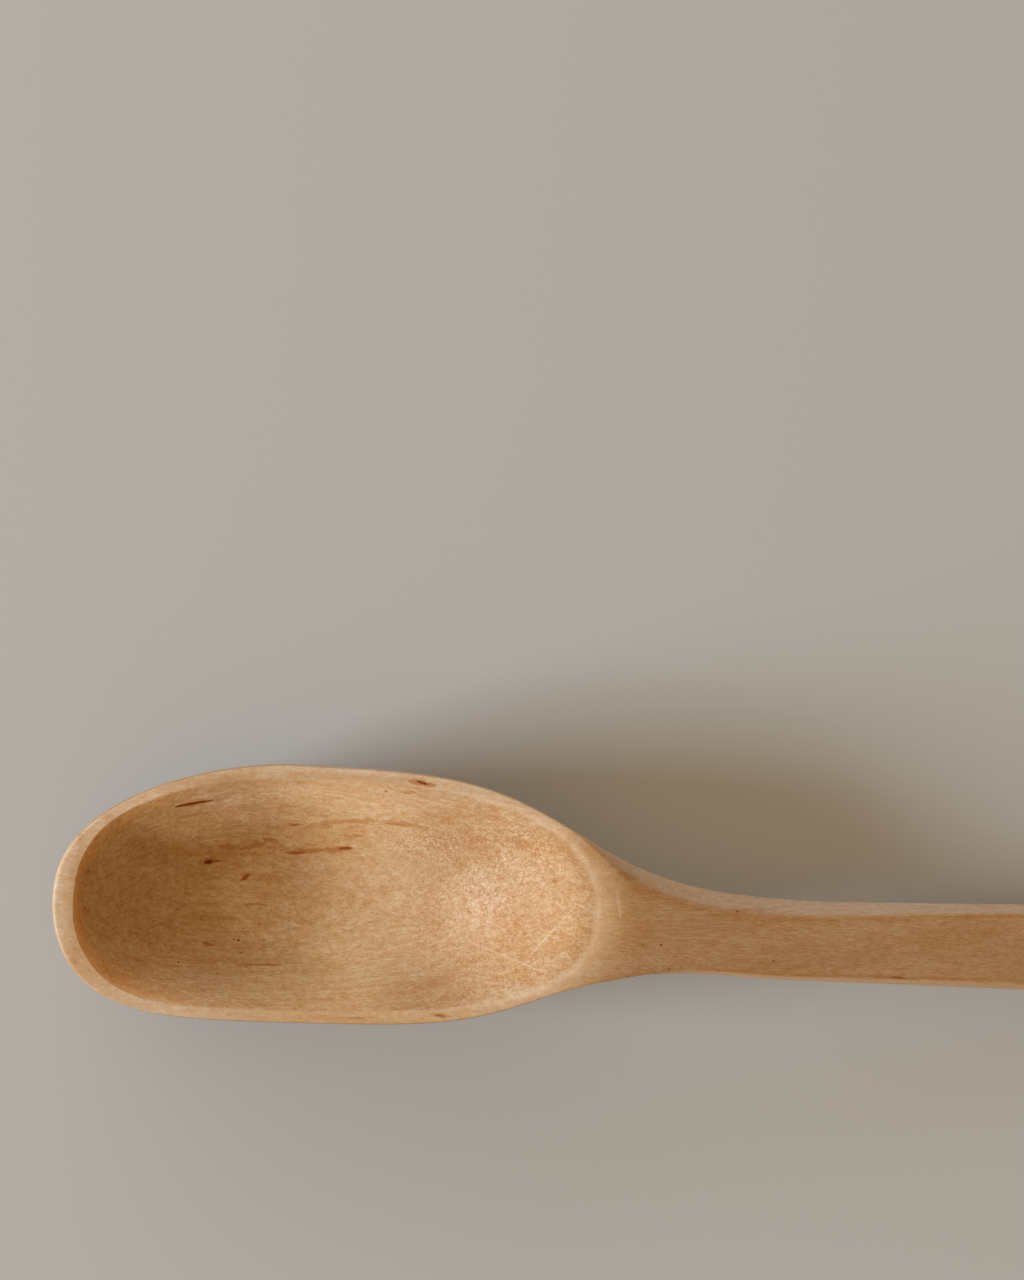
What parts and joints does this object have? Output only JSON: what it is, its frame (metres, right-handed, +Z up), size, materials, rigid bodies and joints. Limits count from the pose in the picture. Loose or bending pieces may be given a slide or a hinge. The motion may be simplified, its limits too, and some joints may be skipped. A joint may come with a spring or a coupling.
{
  "type": "wooden serving spoon",
  "caption": "Carved wooden spoon with a long, deep oval bowl and a straight handle set to one side, for serving, scooping and stirring.",
  "frame": {"origin": "middle of the bounding box's bottom face, on the table under the spoon", "axes": "+X along the spoon from the bowl to the end of the handle, +Y to the bowl's fuller side, +Z up out of the hollow"},
  "size_m": [0.26, 0.0418, 0.0205],
  "materials": {
    "bare_wood": "bare, hand-smoothed pale hardwood with fine grain, short dark flecks and a dry, matt surface"
  },
  "bodies": {
    "root": {"bowl": "bare_wood", "neck": "bare_wood", "handle": "bare_wood", "handle_end": "bare_wood"}
  },
  "joints": []
}
